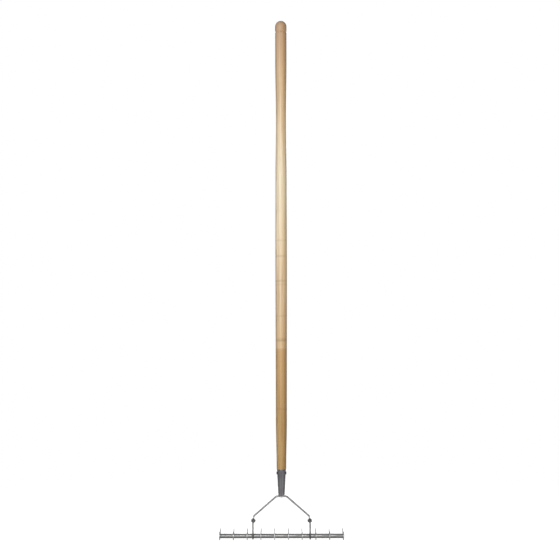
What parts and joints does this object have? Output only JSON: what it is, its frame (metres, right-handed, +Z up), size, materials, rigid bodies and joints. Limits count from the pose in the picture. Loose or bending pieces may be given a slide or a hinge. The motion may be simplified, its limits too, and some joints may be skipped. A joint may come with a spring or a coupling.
{
  "type": "lawn scarifying rake",
  "caption": "Long-handled lawn scarifying rake: turned wooden handle, tapered steel socket, bent wire bow, and a tilting head of sickle blades on a spacer bar.",
  "frame": {"origin": "on the handle's axis at its waist, where a rack clip or the upper hand holds the rake", "axes": "+Z up the handle away from the head, +Y the way the blades point, +X along the head"},
  "size_m": [0.387, 0.0692, 1.6012],
  "materials": {
    "ash": "lacquered turned ash, honey-coloured towards the socket",
    "grey_paint": "dark grey paint, satin",
    "zinc": "bright zinc plate",
    "dark_zinc": "dull dark plate",
    "stainless": "brushed stainless steel"
  },
  "bodies": {
    "handle_and_bow": {"handle": "ash", "socket": "grey_paint", "socket_rivet": "zinc", "bow": "zinc", "pivot_bolt_left": "dark_zinc", "pivot_bolt_right": "dark_zinc", "pivot_nut_left": "dark_zinc", "pivot_nut_right": "dark_zinc"},
    "head": {"bracket_left": "zinc", "bracket_right": "zinc", "head_rod": "zinc", "blade_01": "stainless", "blade_02": "stainless", "blade_03": "stainless", "blade_04": "stainless", "blade_05": "stainless", "blade_06": "stainless", "blade_07": "stainless", "blade_08": "stainless", "blade_09": "stainless", "blade_10": "stainless", "spacer_01": "zinc", "spacer_02": "zinc", "spacer_03": "zinc", "spacer_04": "zinc", "spacer_05": "zinc", "spacer_06": "zinc", "spacer_07": "zinc", "spacer_08": "zinc", "spacer_09": "zinc", "spacer_10": "zinc", "spacer_11": "zinc"}
  },
  "joints": [
    {"name": "head_tilt", "type": "hinge", "parent": "handle_and_bow", "child": "head", "pos_m": [0, 0, -1.23495], "axis": [1, 0, 0], "range_deg": [-80, 80]}
  ]
}
